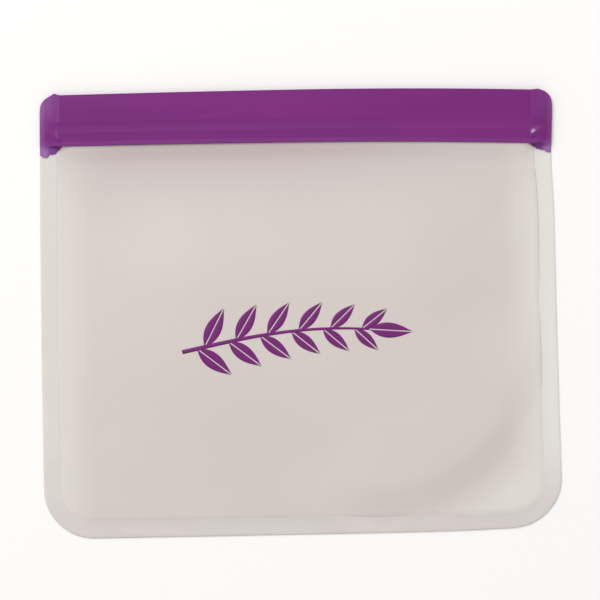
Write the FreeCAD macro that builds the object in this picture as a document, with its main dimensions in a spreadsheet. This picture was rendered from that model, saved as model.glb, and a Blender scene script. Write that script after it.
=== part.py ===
import FreeCAD
import Part

import math
import os

import Sketcher

# A flat reusable food bag of frosted soft film, closed by a coloured double press-to-close strip.
# It lies on its back: X runs across the bag, +Y towards the mouth, +Z up through its thickness.
# The origin is under the middle of the bag, on the surface that it lies on. Sizes are in millimetres.

SIZES = [
    # alias, value, what it is
    ("bag_width", 204.0, "outer width"),
    ("bag_height", 177.0, "outer height, bottom seam to lip"),
    ("seam_width", 7.0, "width of the welded border"),
    ("seam_thick", 0.9, "two films fused and pressed together"),
    ("bottom_round", 19.5, "outer radius of the two bottom corners"),
    ("corner_straight", 2.0, "straight run of the bottom seam above its corners"),
    ("top_round", 6.0, "outer radius of the two top corners"),
    ("film_thick", 0.5, "thickness of one film"),
    ("film_clearance", 0.15, "gap round the edge of the front film"),
    ("film_seat", 0.1, "gap between the border and the front film above it"),
    ("pillow_height", 6.5, "underside of the front film above the table, in the middle"),
    ("pillow_run", 26.0, "distance in which the front film rises from the border"),
    ("mouth_run", 30.0, "distance in which the front film comes down to the strip"),
    ("band_height", 20.0, "height of the coloured strip"),
    ("tape_thick", 0.8, "thickness of each strip's tape"),
    ("lap_height", 3.5, "how far each film reaches up inside its tape"),
    ("joggle_run", 3.0, "distance in which the back film steps up on to its tape"),
    ("joggle_gap", 0.3, "gap from the end of that step to the tape's edge"),
    ("track_gap", 2.0, "space between the two tapes where the tracks are"),
    ("lip_height", 8.0, "plain lip above the tracks"),
    ("lip_gap", 0.2, "space between the two lips at their top edge"),
    ("upper_track_drop", 10.5, "upper track below the top edge"),
    ("track_pitch", 4.5, "upper track to lower track"),
    ("track_width", 2.4, "width of the foot of a rib or channel"),
    ("foot_thick", 0.3, "thickness of the foot of a rib or channel"),
    ("jaw_thick", 0.35, "thickness of a channel's jaws"),
    ("hook_thick", 0.3, "thickness of the hooks at the jaws' tips"),
    ("jaw_clearance", 0.2, "gap from the jaws' tips to the rib's foot"),
    ("stem_width", 0.4, "width of a rib's stem"),
    ("throat_clearance", 0.1, "gap each side of the stem, between the hooks"),
    ("head_clearance", 0.06, "gap above and below a rib's head"),
    ("head_side_clearance", 0.2, "gap each side of a rib's head"),
    ("crush_thick", 1.7, "both tapes crushed and fused at the strip's ends"),
    ("crush_ramp", 2.5, "distance in which the strip is crushed down"),
    ("flash_thick", 0.4, "melted colour that ran down over the border"),
    ("flash_drop", 4.4, "how far it ran down"),
    ("flash_round", 0.6, "rounding of its outline"),
    ("ink_thick", 0.1, "thickness of the printed ink"),
    ("print_drop", 9.0, "middle of the print below the middle of the bag"),
    ("print_width", 92.0, "width of the printed sprig"),
    ("leaf_length", 18.0, "length of a printed leaf"),
    ("leaf_width", 6.6, "width of a printed leaf"),
    ("leaf_tilt", 50.0, "angle between a side leaf and the stem, in degrees"),
    ("stem_line", 1.4, "width of the printed stem"),
    ("print_gap", 1.0, "bare film between the stem and a leaf"),
]

TRACKS = ("upper", "lower")
SIDES = (("left", -1), ("right", 1))
LEAF_PAIRS = 4
# How many steps across and along the film's surface is worked out in.
FILM_STEPS = (60, 48)
# The outline of the melted colour: shares of the border's width, from inside out, and of its drop.
FLASH_OUTLINE = [
    (1.0, 0.0),
    (1.0, 0.95),
    (0.58, 1.0),
    (0.38, 0.68),
    (0.12, 0.52),
    (0.0, 0.23),
    (0.0, 0.0),
]
# The corners of that outline that are rounded.
FLASH_SOFT = slice(2, 5)

# Heights and places that several pieces share, as expressions on the sheet of sizes.
TOP = "(Sizes.bag_height / 2)"
BOTTOM = "(-Sizes.bag_height / 2)"
SIDE = "(Sizes.bag_width / 2)"
BAND_FOOT = f"({TOP} - Sizes.band_height)"
LAP_TOP = f"({BAND_FOOT} + Sizes.lap_height)"
LIP_ROOT = f"({TOP} - Sizes.lip_height)"
SEAM_TOP = f"({BOTTOM} + Sizes.seam_width)"
SEAM_SIDE = f"({SIDE} - Sizes.seam_width)"
CORNER_TOP = f"({BOTTOM} + Sizes.bottom_round + Sizes.corner_straight)"
INNER_ROUND = "(Sizes.bottom_round - Sizes.seam_width)"
FRONT_TAPE = "(Sizes.tape_thick + Sizes.track_gap)"
LIP_EDGE = "(Sizes.tape_thick + Sizes.lip_gap)"
FOOT_TOP = "(Sizes.tape_thick + Sizes.foot_thick)"
RIB_FOOT = f"({FRONT_TAPE} - Sizes.foot_thick)"
JAW_TOP = f"({RIB_FOOT} - Sizes.jaw_clearance)"
HOOK_FOOT = f"({JAW_TOP} - Sizes.hook_thick)"
HEAD_RADIUS = f"(({HOOK_FOOT} - {FOOT_TOP}) / 2 - Sizes.head_clearance)"
HEAD_MIDDLE = f"(({HOOK_FOOT} + {FOOT_TOP}) / 2)"
THROAT = "(Sizes.stem_width / 2 + Sizes.throat_clearance)"
JAW_INSIDE = f"({HEAD_RADIUS} + Sizes.head_side_clearance)"
JAW_OUTSIDE = f"({JAW_INSIDE} + Sizes.jaw_thick)"
STRIP_LENGTH = f"(2 * {SEAM_SIDE})"
FRONT_LENGTH = f"(2 * ({SEAM_SIDE} - Sizes.film_clearance))"
TRACK_AT = {
    "upper": f"({TOP} - Sizes.upper_track_drop)",
    "lower": f"({TOP} - Sizes.upper_track_drop - Sizes.track_pitch)",
}


def make_sheet(doc):
    """The driving dimensions, one named cell each."""
    sheet = doc.addObject("Spreadsheet::Sheet", "Sizes")
    for row, (alias, value, note) in enumerate(SIZES, 1):
        sheet.set(f"A{row}", alias)
        sheet.set(f"B{row}", str(value))
        sheet.set(f"C{row}", note)
        sheet.setAlias(f"B{row}", alias)
    doc.recompute()
    return sheet


def size(doc, expression):
    """The number that an expression on the sheet comes to."""
    found = doc.Sizes.evalExpression(expression.replace("Sizes.", ""))
    return float(getattr(found, "Value", found))


def new_body(doc, label):
    body = doc.addObject("PartDesign::Body", label)
    body.Label = label
    return body


def new_sketch(body, plane, name, lift=None):
    """A sketch on one of the body's own origin planes, lifted along the plane's normal."""
    sketch = body.newObject("Sketcher::SketchObject", name)
    support = next(f for f in body.Origin.OriginFeatures if f.Role == plane)
    sketch.AttachmentSupport = [(support, "")]
    sketch.MapMode = "FlatFace"
    if lift:
        sketch.setExpression("AttachmentOffset.Base.z", lift)
    return sketch


def draw_outline(doc, sketch, corners):
    """A closed outline of straight lines. Each corner is a pair of expressions."""
    points = [FreeCAD.Vector(size(doc, a), size(doc, b), 0) for a, b in corners]
    lines = [
        sketch.addGeometry(Part.LineSegment(start, end), False)
        for start, end in zip(points, points[1:] + points[:1])
    ]
    for line, after in zip(lines, lines[1:] + lines[:1]):
        sketch.addConstraint(Sketcher.Constraint("Coincident", line, 2, after, 1))
    for line, point, (across, up) in zip(lines, points, corners):
        for kind, value, expression in (("DistanceX", point.x, across), ("DistanceY", point.y, up)):
            index = sketch.addConstraint(Sketcher.Constraint(kind, -1, 1, line, 1, value))
            sketch.setExpression(f"Constraints[{index}]", expression)


def draw_circle(doc, sketch, across, up, radius):
    """A circle whose middle and radius are expressions."""
    middle = FreeCAD.Vector(size(doc, across), size(doc, up), 0)
    circle = sketch.addGeometry(Part.Circle(middle, FreeCAD.Vector(0, 0, 1), size(doc, radius)), False)
    for constraint, expression in (
        (Sketcher.Constraint("DistanceX", -1, 1, circle, 3, middle.x), across),
        (Sketcher.Constraint("DistanceY", -1, 1, circle, 3, middle.y), up),
        (Sketcher.Constraint("Radius", circle, size(doc, radius)), radius),
    ):
        index = sketch.addConstraint(constraint)
        sketch.setExpression(f"Constraints[{index}]", expression)


def pad(body, sketch, name, length, both_ways=False):
    """Extrudes a sketch along its normal, or by half the length to each side."""
    feature = body.newObject("PartDesign::Pad", name)
    feature.Profile = sketch
    feature.Midplane = both_ways
    feature.setExpression("Length", length)
    return feature


def round_edges(doc, body, name, radius, chosen):
    """Rounds the tip's edges for which chosen(edge) is true."""
    doc.recompute()
    base = body.Tip
    names = [f"Edge{i}" for i, edge in enumerate(base.Shape.Edges, 1) if chosen(edge)]
    feature = body.newObject("PartDesign::Fillet", name)
    feature.Base = (base, names)
    feature.setExpression("Radius", radius)
    return feature


def upright_at(doc, *places):
    """Chooses the edges along Z that stand at the given places, each a pair of expressions."""
    spots = [(size(doc, a), size(doc, b)) for a, b in places]

    def chosen(edge):
        box = edge.BoundBox
        return box.XLength < 1e-6 and box.YLength < 1e-6 and any(
            math.hypot(box.XMin - a, box.YMin - b) < 1e-4 for a, b in spots
        )

    return chosen


def along_x_at(doc, up, height):
    """Chooses the edges along X that lie at the given place across the strip."""
    y, z = size(doc, up), size(doc, height)

    def chosen(edge):
        box = edge.BoundBox
        return box.YLength < 1e-6 and box.ZLength < 1e-6 and math.hypot(box.YMin - y, box.ZMin - z) < 1e-4

    return chosen


def make_side_seam(doc, side, sign):
    """The straight welded border on one side, where both films are fused into one."""
    body = new_body(doc, f"{side}_side_seam")
    sketch = new_sketch(body, "XY_Plane", f"{side}_seam_outline")
    inner, outer = f"{sign} * {SEAM_SIDE}", f"{sign} * {SIDE}"
    draw_outline(doc, sketch, [
        (inner, CORNER_TOP),
        (outer, CORNER_TOP),
        (outer, BAND_FOOT),
        (inner, BAND_FOOT),
    ])
    pad(body, sketch, f"{side}_seam_pad", "Sizes.seam_thick")


def make_bottom_seam(doc):
    """The welded border along the bottom, with its two rounded corners."""
    body = new_body(doc, "bottom_seam")
    sketch = new_sketch(body, "XY_Plane", "bottom_seam_outline")
    draw_outline(doc, sketch, [
        (f"-{SIDE}", BOTTOM),
        (SIDE, BOTTOM),
        (SIDE, CORNER_TOP),
        (SEAM_SIDE, CORNER_TOP),
        (SEAM_SIDE, SEAM_TOP),
        (f"-{SEAM_SIDE}", SEAM_TOP),
        (f"-{SEAM_SIDE}", CORNER_TOP),
        (f"-{SIDE}", CORNER_TOP),
    ])
    pad(body, sketch, "bottom_seam_pad", "Sizes.seam_thick")
    outer = upright_at(doc, (f"-{SIDE}", BOTTOM), (SIDE, BOTTOM))
    round_edges(doc, body, "outer_corners", "Sizes.bottom_round", outer)
    inner = upright_at(doc, (f"-{SEAM_SIDE}", SEAM_TOP), (SEAM_SIDE, SEAM_TOP))
    round_edges(doc, body, "inner_corners", INNER_ROUND, inner)


def make_back_film(doc):
    """The flat back film, which steps up on to the inside of the back tape at the mouth."""
    body = new_body(doc, "back_film")
    sketch = new_sketch(body, "YZ_Plane", "back_film_section")
    step_end = f"({BAND_FOOT} - Sizes.joggle_gap)"
    step_start = f"({step_end} - Sizes.joggle_run)"
    lap_face = "(Sizes.tape_thick + Sizes.film_thick)"
    draw_outline(doc, sketch, [
        (SEAM_TOP, "0"),
        (step_start, "0"),
        (step_end, "Sizes.tape_thick"),
        (LAP_TOP, "Sizes.tape_thick"),
        (LAP_TOP, lap_face),
        (step_end, lap_face),
        (step_start, "Sizes.film_thick"),
        (SEAM_TOP, "Sizes.film_thick"),
    ])
    pad(body, sketch, "back_film_pad", STRIP_LENGTH, both_ways=True)
    corners = upright_at(doc, (f"-{SEAM_SIDE}", SEAM_TOP), (SEAM_SIDE, SEAM_TOP))
    round_edges(doc, body, "back_film_corners", INNER_ROUND, corners)


def make_back_tape(doc):
    """The back strip's tape: a plain band outside the back film."""
    body = new_body(doc, "back_zip_tape")
    sketch = new_sketch(body, "YZ_Plane", "back_tape_section")
    draw_outline(doc, sketch, [
        (BAND_FOOT, "0"),
        (TOP, "0"),
        (TOP, "Sizes.tape_thick"),
        (BAND_FOOT, "Sizes.tape_thick"),
    ])
    pad(body, sketch, "back_tape_pad", STRIP_LENGTH, both_ways=True)
    edge = along_x_at(doc, TOP, "0")
    round_edges(doc, body, "back_lip_round", "Sizes.tape_thick / 2", edge)


def make_front_tape(doc):
    """The front strip's tape: level over the tracks, with a lip that leans back to the other lip."""
    body = new_body(doc, "front_zip_tape")
    sketch = new_sketch(body, "YZ_Plane", "front_tape_section")
    outside = f"({FRONT_TAPE} + Sizes.tape_thick)"
    lip_outside = f"({LIP_EDGE} + Sizes.tape_thick)"
    draw_outline(doc, sketch, [
        (BAND_FOOT, FRONT_TAPE),
        (LIP_ROOT, FRONT_TAPE),
        (TOP, LIP_EDGE),
        (TOP, lip_outside),
        (LIP_ROOT, outside),
        (BAND_FOOT, outside),
    ])
    pad(body, sketch, "front_tape_pad", FRONT_LENGTH, both_ways=True)
    edge = along_x_at(doc, TOP, lip_outside)
    round_edges(doc, body, "front_lip_round", "Sizes.tape_thick / 2", edge)


def make_channel(doc, track):
    """One female track on the back tape: a foot and two hooked jaws."""
    body = new_body(doc, f"{track}_zip_channel")
    sketch = new_sketch(body, "YZ_Plane", f"{track}_channel_section")
    middle, half_foot = TRACK_AT[track], "Sizes.track_width / 2"
    half = [
        (half_foot, "Sizes.tape_thick"),
        (half_foot, FOOT_TOP),
        (JAW_OUTSIDE, FOOT_TOP),
        (JAW_OUTSIDE, JAW_TOP),
        (THROAT, JAW_TOP),
        (THROAT, HOOK_FOOT),
        (JAW_INSIDE, HOOK_FOOT),
        (JAW_INSIDE, FOOT_TOP),
    ]
    upper = [(f"{middle} + {away}", height) for away, height in half]
    lower = [(f"{middle} - {away}", height) for away, height in reversed(half)]
    draw_outline(doc, sketch, upper + lower)
    pad(body, sketch, f"{track}_channel_pad", STRIP_LENGTH, both_ways=True)


def make_rib(doc, track):
    """One male track under the front tape: a foot, a stem and a round head."""
    body = new_body(doc, f"{track}_zip_rib")
    sketch = new_sketch(body, "YZ_Plane", f"{track}_rib_section")
    middle, half_foot, half_stem = TRACK_AT[track], "Sizes.track_width / 2", "Sizes.stem_width / 2"
    draw_outline(doc, sketch, [
        (f"{middle} - {half_foot}", FRONT_TAPE),
        (f"{middle} - {half_foot}", RIB_FOOT),
        (f"{middle} - {half_stem}", RIB_FOOT),
        (f"{middle} - {half_stem}", HEAD_MIDDLE),
        (f"{middle} + {half_stem}", HEAD_MIDDLE),
        (f"{middle} + {half_stem}", RIB_FOOT),
        (f"{middle} + {half_foot}", RIB_FOOT),
        (f"{middle} + {half_foot}", FRONT_TAPE),
    ])
    pad(body, sketch, f"{track}_rib_pad", FRONT_LENGTH, both_ways=True)
    head = new_sketch(body, "YZ_Plane", f"{track}_head_section")
    draw_circle(doc, head, middle, HEAD_MIDDLE, HEAD_RADIUS)
    pad(body, head, f"{track}_head_pad", FRONT_LENGTH, both_ways=True)


def make_zip_end(doc, side, sign):
    """One crushed end of the closure, and the melted colour that ran down over the side seam."""
    body = new_body(doc, f"{side}_zip_end")
    inner, outer = f"{sign} * {SEAM_SIDE}", f"{sign} * {SIDE}"
    ramp_foot = f"{sign} * ({SEAM_SIDE} + Sizes.crush_ramp)"
    ramp_top = f"({FRONT_TAPE} + Sizes.tape_thick)"
    # The XZ plane's normal points along -Y, so its lift and its pads run backwards.
    section = new_sketch(body, "XZ_Plane", f"{side}_end_section", lift=f"-{TOP}")
    draw_outline(doc, section, [
        (inner, "0"),
        (outer, "0"),
        (outer, "Sizes.crush_thick"),
        (ramp_foot, "Sizes.crush_thick"),
        (inner, ramp_top),
    ])
    pad(body, section, f"{side}_end_pad", "Sizes.band_height")
    corner = upright_at(doc, (outer, TOP))
    round_edges(doc, body, f"{side}_end_corner", "Sizes.top_round", corner)
    flash = new_sketch(body, "XY_Plane", f"{side}_flash_outline", lift="Sizes.seam_thick")
    outline = [
        (
            f"{sign} * ({SEAM_SIDE} + {across} * Sizes.seam_width)",
            f"{BAND_FOOT} - {down} * Sizes.flash_drop",
        )
        for across, down in FLASH_OUTLINE
    ]
    draw_outline(doc, flash, outline)
    pad(body, flash, f"{side}_flash_pad", "Sizes.flash_thick")
    soft = upright_at(doc, *outline[FLASH_SOFT])
    round_edges(doc, body, f"{side}_flash_round", "Sizes.flash_round", soft)


def eased(share):
    """0 to 1, level at both ends."""
    share = min(max(share, 0.0), 1.0)
    return share * share * (3 - 2 * share)


def film_surface(doc):
    """The underside of the front film: level at the border, puffed in the middle, lower at the mouth."""
    half_width = size(doc, f"{SEAM_SIDE} - Sizes.film_clearance")
    low, high = size(doc, f"{SEAM_TOP} + Sizes.film_clearance"), size(doc, LAP_TOP)
    seat = size(doc, "Sizes.seam_thick + Sizes.film_seat")
    top, lap = size(doc, "Sizes.pillow_height"), size(doc, f"{FRONT_TAPE} - Sizes.film_thick")
    mouth = size(doc, f"{BAND_FOOT} - Sizes.joggle_gap")
    run, mouth_run = size(doc, "Sizes.pillow_run"), size(doc, "Sizes.mouth_run")

    def height(x, y):
        rising = seat + (top - seat) * eased((y - low) / run)
        near_mouth = 1 - eased((mouth - y) / mouth_run)
        middle = min(rising, top + (lap - top) * near_mouth)
        edge = seat + (lap - seat) * near_mouth
        return edge + (middle - edge) * eased((half_width - abs(x)) / run)

    columns, rows = FILM_STEPS
    points = [
        [
            FreeCAD.Vector(x, y, height(x, y))
            for y in (low + (high - low) * j / rows for j in range(rows + 1))
        ]
        for x in (half_width * (2 * i / columns - 1) for i in range(columns + 1))
    ]
    surface = Part.BSplineSurface()
    surface.interpolate(points)
    return surface.toShape()


def film_outline(doc):
    """A tall block with the outline of the free part of the front film."""
    half_width = size(doc, f"{SEAM_SIDE} - Sizes.film_clearance")
    low, high = size(doc, f"{SEAM_TOP} + Sizes.film_clearance"), size(doc, LAP_TOP)
    tall = 4 * size(doc, "Sizes.pillow_height")
    block = Part.makeBox(2 * half_width, high - low, tall, FreeCAD.Vector(-half_width, low, -tall / 2))
    corners = [
        edge for edge in block.Edges
        if edge.BoundBox.ZLength > tall / 2 and abs(edge.BoundBox.YMin - low) < 1e-6
    ]
    return block.makeFillet(size(doc, f"{INNER_ROUND} - Sizes.film_clearance"), corners)


def make_front_film(doc):
    """The puffed front film, cut to the outline inside the border."""
    feature = doc.addObject("Part::Feature", "front_film")
    sheet = film_surface(doc).extrude(FreeCAD.Vector(0, 0, size(doc, "Sizes.film_thick")))
    feature.Shape = sheet.common(film_outline(doc)).Solids[0]


def draw_leaf(doc, sketch, root, angle):
    """A pointed leaf of two arcs. Its root is a pair of expressions, and its angle to +X is in degrees."""
    tip = tuple(
        f"{place} + Sizes.leaf_length * {turn}({angle})" for place, turn in zip(root, ("cos", "sin"))
    )
    radius = "(Sizes.leaf_length ^ 2 / (4 * Sizes.leaf_width) + Sizes.leaf_width / 4)"
    start, end = (FreeCAD.Vector(size(doc, a), size(doc, b), 0) for a, b in (root, tip))
    bulge = (end - start).cross(FreeCAD.Vector(0, 0, 1)).normalize() * size(doc, "Sizes.leaf_width / 2")
    middle = (start + end) / 2
    arcs = [
        sketch.addGeometry(Part.Arc(first, middle + away, last), False)
        for first, away, last in ((start, bulge, end), (end, -bulge, start))
    ]
    sketch.addConstraint(Sketcher.Constraint("Coincident", arcs[0], 1, arcs[1], 2))
    sketch.addConstraint(Sketcher.Constraint("Coincident", arcs[0], 2, arcs[1], 1))
    ends = [(1, start, root), (2, end, tip)]
    for point, place, (across, up) in ends:
        for kind, value, expression in (("DistanceX", place.x, across), ("DistanceY", place.y, up)):
            index = sketch.addConstraint(Sketcher.Constraint(kind, -1, 1, arcs[0], point, value))
            sketch.setExpression(f"Constraints[{index}]", expression)
    for arc in arcs:
        index = sketch.addConstraint(Sketcher.Constraint("Radius", arc, size(doc, radius)))
        sketch.setExpression(f"Constraints[{index}]", radius)


def make_print(doc):
    """A plain printed sprig on the level middle of the front film: a stem with leaves."""
    body = new_body(doc, "front_print")
    body.AllowCompound = True
    lift = "Sizes.pillow_height + Sizes.film_thick"
    foot, middle = "(-Sizes.print_width / 2)", "(-Sizes.print_drop)"
    stem_length = "(Sizes.print_width - Sizes.leaf_length - Sizes.print_gap)"
    step = f"({stem_length} / {LEAF_PAIRS})"
    stem = new_sketch(body, "XY_Plane", "stem_outline", lift)
    draw_outline(doc, stem, [
        (foot, f"{middle} - Sizes.stem_line / 2"),
        (f"{foot} + {stem_length}", f"{middle} - Sizes.stem_line / 2"),
        (f"{foot} + {stem_length}", f"{middle} + Sizes.stem_line / 2"),
        (foot, f"{middle} + Sizes.stem_line / 2"),
    ])
    pad(body, stem, "stem_pad", "Sizes.ink_thick")
    tip = new_sketch(body, "XY_Plane", "tip_leaf_outline", lift)
    draw_leaf(doc, tip, (f"{foot} + {stem_length} + Sizes.print_gap", middle), "0")
    pad(body, tip, "tip_leaf_pad", "Sizes.ink_thick")
    pair = new_sketch(body, "XY_Plane", "leaf_pair_outline", lift)
    for sign in ("+", "-"):
        root = f"{middle} {sign} (Sizes.stem_line / 2 + Sizes.print_gap)"
        draw_leaf(doc, pair, (f"{foot} + {step} / 2", root), f"{sign}Sizes.leaf_tilt")
    leaves = pad(body, pair, "leaf_pair_pad", "Sizes.ink_thick")
    row = body.newObject("PartDesign::LinearPattern", "leaf_pairs")
    row.Originals = [leaves]
    row.Direction = (pair, ["H_Axis"])
    row.Occurrences = LEAF_PAIRS
    row.setExpression("Length", f"{step} * {LEAF_PAIRS - 1}")
    body.Tip = row


def pieces(doc):
    """Every named piece of the bag."""
    return [piece for piece in doc.Objects if piece.TypeId in ("PartDesign::Body", "Part::Feature")]


def check(doc):
    """Stops the build at a failed object, or at a piece that is empty, invalid or not solid."""
    bad = [o.Label for o in doc.Objects if {"Invalid", "Error"} & set(o.State)]
    for piece in pieces(doc):
        shape = piece.Shape
        if shape.isNull() or not shape.isValid() or not shape.Solids or shape.Volume <= 0:
            bad.append(piece.Label)
    if bad:
        raise RuntimeError(f"these did not build: {sorted(set(bad))}")


def main():
    doc = FreeCAD.newDocument("storage_bag")
    make_sheet(doc)
    for side, sign in SIDES:
        make_side_seam(doc, side, sign)
        make_zip_end(doc, side, sign)
    make_bottom_seam(doc)
    make_back_film(doc)
    make_back_tape(doc)
    make_front_tape(doc)
    for track in TRACKS:
        make_channel(doc, track)
        make_rib(doc, track)
    make_front_film(doc)
    make_print(doc)
    doc.recompute()
    check(doc)
    os.makedirs("parts", exist_ok=True)
    for piece in pieces(doc):
        piece.Shape.exportStep(f"parts/{piece.Label}.step")
        print(f"{piece.Label}: {piece.Shape.Volume:.1f} mm3, {len(piece.Shape.Solids)} solid(s)")


main()
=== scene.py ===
import math

import bmesh
import bpy
from bpy.props import FloatProperty, FloatVectorProperty, IntProperty, PointerProperty
from mathutils import Matrix, Vector
from mathutils.bvhtree import BVHTree
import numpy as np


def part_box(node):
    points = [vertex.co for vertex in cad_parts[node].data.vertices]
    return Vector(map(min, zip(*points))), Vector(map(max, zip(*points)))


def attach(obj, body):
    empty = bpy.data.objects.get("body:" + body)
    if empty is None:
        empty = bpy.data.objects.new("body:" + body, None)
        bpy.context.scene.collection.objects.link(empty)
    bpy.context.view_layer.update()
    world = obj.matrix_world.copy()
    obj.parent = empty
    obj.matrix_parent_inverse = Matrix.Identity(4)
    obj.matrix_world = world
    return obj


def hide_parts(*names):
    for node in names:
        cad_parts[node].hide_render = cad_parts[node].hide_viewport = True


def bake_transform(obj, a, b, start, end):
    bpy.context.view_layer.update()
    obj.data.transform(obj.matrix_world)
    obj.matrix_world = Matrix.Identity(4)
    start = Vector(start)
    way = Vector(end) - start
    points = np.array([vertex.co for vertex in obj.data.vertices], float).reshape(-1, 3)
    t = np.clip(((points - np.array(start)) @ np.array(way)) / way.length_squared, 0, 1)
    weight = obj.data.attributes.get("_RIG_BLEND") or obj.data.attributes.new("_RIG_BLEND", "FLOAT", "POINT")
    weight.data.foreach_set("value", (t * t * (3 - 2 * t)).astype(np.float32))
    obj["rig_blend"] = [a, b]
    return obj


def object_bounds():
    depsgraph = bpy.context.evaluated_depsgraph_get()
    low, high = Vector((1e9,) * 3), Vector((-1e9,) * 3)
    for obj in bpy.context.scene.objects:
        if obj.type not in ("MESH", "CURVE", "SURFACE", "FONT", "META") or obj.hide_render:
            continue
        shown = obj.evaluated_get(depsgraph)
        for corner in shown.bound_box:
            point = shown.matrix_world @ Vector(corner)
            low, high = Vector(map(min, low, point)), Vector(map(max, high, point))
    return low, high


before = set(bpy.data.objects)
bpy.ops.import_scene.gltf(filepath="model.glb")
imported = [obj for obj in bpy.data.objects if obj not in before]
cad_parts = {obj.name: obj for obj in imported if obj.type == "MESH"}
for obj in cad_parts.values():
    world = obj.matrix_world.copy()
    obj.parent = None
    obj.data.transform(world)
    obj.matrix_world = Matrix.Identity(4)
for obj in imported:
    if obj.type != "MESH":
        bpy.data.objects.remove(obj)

# A flat reusable food bag: two sheets of frosted film welded round three sides, and a coloured
# press-to-close strip across the mouth. X runs across the bag, +Y to the mouth, +Z out of its front.

bl_info = {
    "name": "Press-to-close film bag",
    "version": (1, 0, 0),
    "blender": (4, 5, 0),
    "location": "View3D > Sidebar > Bag",
    "description": "Builds a flat reusable film bag round its working frame",
    "category": "Object",
}

MM = 0.001
CAD_BOX = [list(corner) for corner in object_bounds()]
LOW, HIGH = (Vector(corner) for corner in CAD_BOX)
BACK, FRONT = "back", "front"

# Places that several pieces share, from the frame.
HALF_WIDTH = HIGH.x
TOP, BOTTOM = HIGH.y, LOW.y
BACK_TAPE_LOW, BACK_TAPE_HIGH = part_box("back_zip_tape")
FRONT_TAPE_LOW, FRONT_TAPE_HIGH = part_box("front_zip_tape")
BAND_FOOT = BACK_TAPE_LOW.y
TAPE_THICK = BACK_TAPE_HIGH.z
FRONT_FACE = FRONT_TAPE_HIGH.z
FRONT_INSIDE = FRONT_FACE - TAPE_THICK
LIP_FACE = FRONT_TAPE_LOW.z + TAPE_THICK
WELD_SIDE = BACK_TAPE_HIGH.x
WELD_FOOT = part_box("back_film")[0].y
LAP_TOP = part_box("back_film")[1].y
SEAM_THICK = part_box("left_side_seam")[1].z
SEAM_WIDTH = HALF_WIDTH - WELD_SIDE
SKIN = 2.5 * MM          # how far the melted ends run over the strip, inwards of the weld line

# The slack fold round the bottom right corner: the middle of its arc, the way it faces from there,
# and how far out its ridge is.
FOLD_MIDDLE = Vector((30 * MM, -15 * MM))
FOLD_FACING = Vector((0.66, -0.75))
FOLD_RADIUS = 53 * MM

TRACK_STEPS = 95         # steps along a track, so that it can bend
PLASTIC_IOR = 1.48


# ---------------------------------------------------------------- the sizes and colours of the bag

def length(name, description, default):
    """A size in metres that a user may change."""
    return FloatProperty(name=name, description=description, default=default, unit="LENGTH")


def paint(name, description, default):
    """A colour that a user may change."""
    return FloatVectorProperty(
        name=name, description=description, default=default, size=3, subtype="COLOR", min=0, max=1
    )


class BAG_PG_lay(bpy.types.PropertyGroup):
    """How the soft bag lies, against its flat pattern."""
    narrowing: length("Narrowing", "How much less wide each side is at the mouth", 1.2 * MM)
    drawn_in: length("Drawn in", "How much lower the mouth and higher the bottom lies", 1.05 * MM)
    sway: length("Sway", "How far both sides lean to the left halfway up", 0.5 * MM)
    band_sag: length("Band sag", "How far the strip's lower edge hangs down", 1.1 * MM)
    band_tilt: length("Band tilt", "How much more it hangs at the right and less at the left", 0.6 * MM)
    waist: length("Waist", "How far the right side is drawn in below the strip", 0.8 * MM)
    right_drop: length("Right drop", "How far the mouth's right end lies lower", 2.1 * MM)
    left_drop: length("Left drop", "How far the mouth's left end lies lower", 0.6 * MM)
    right_lift: length("Right lift", "How far the bottom right corner lies higher", 2.3 * MM)
    left_lift: length("Left lift", "How far the bottom left corner lies higher", 0.1 * MM)


class BAG_PG_film(bpy.types.PropertyGroup):
    """The two sheets of frosted film."""
    colour: paint("Colour", "Colour of the frosted film", (0.765, 0.695, 0.66))
    # Painted shade: the darker, purple-tinged colour of the front sheet just below the strip.
    strip_shade_colour: paint("Doubled colour", "Colour over the strip's flange", (0.50, 0.41, 0.41))
    # Painted light: the paler colour of the front sheet by the side welds and in the bottom right corner.
    painted_light_colour: paint("Edge colour", "Colour where it lies right on the back sheet", (0.86, 0.81, 0.76))
    thick: length("Thickness", "Thickness of one sheet", 0.5 * MM)
    mesh: length("Mesh", "Spacing of the sheet's mesh", 1.7 * MM)
    outer_round: length("Outer corner", "Radius of the bottom corners", 19.5 * MM)
    edge: length("Edge height", "Middle of the front sheet where it leaves the weld", 0.75 * MM)
    shoulder: length("Shoulder", "How far it rises at once beside the weld", 0.4 * MM)
    puff: length("Puff", "Middle of the front sheet over the middle of the bag", 5.1 * MM)
    mouth_rise: length("Mouth rise", "Distance in which it rises again from the strip", 62 * MM)
    rise: length("Rise", "Distance in which the front sheet rises from the welds", 58 * MM)
    valley: length("Valley", "Middle of the front sheet where it dips below the strip", 1.2 * MM)
    bulge: length("Bulge", "How far it stands up at the slack fold", 2.2 * MM)
    wave: length("Wave", "Height of the slack sheet's slow waves", 0.12 * MM)


class BAG_PG_border(bpy.types.PropertyGroup):
    """The welded border."""
    colour: paint("Colour", "Colour of the fused film", (0.875, 0.81, 0.78))
    # The fused film's own clearer colour up both sides, with painted light that makes the right side lighter
    # than the left.
    clear_and_lit_colour: paint("Clear colour", "Colour where it is clearest, up both sides", (1.0, 0.975, 0.925))
    bead: length("Bead", "Height of the bead along the weld's inner edge", 0.12 * MM)


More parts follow.
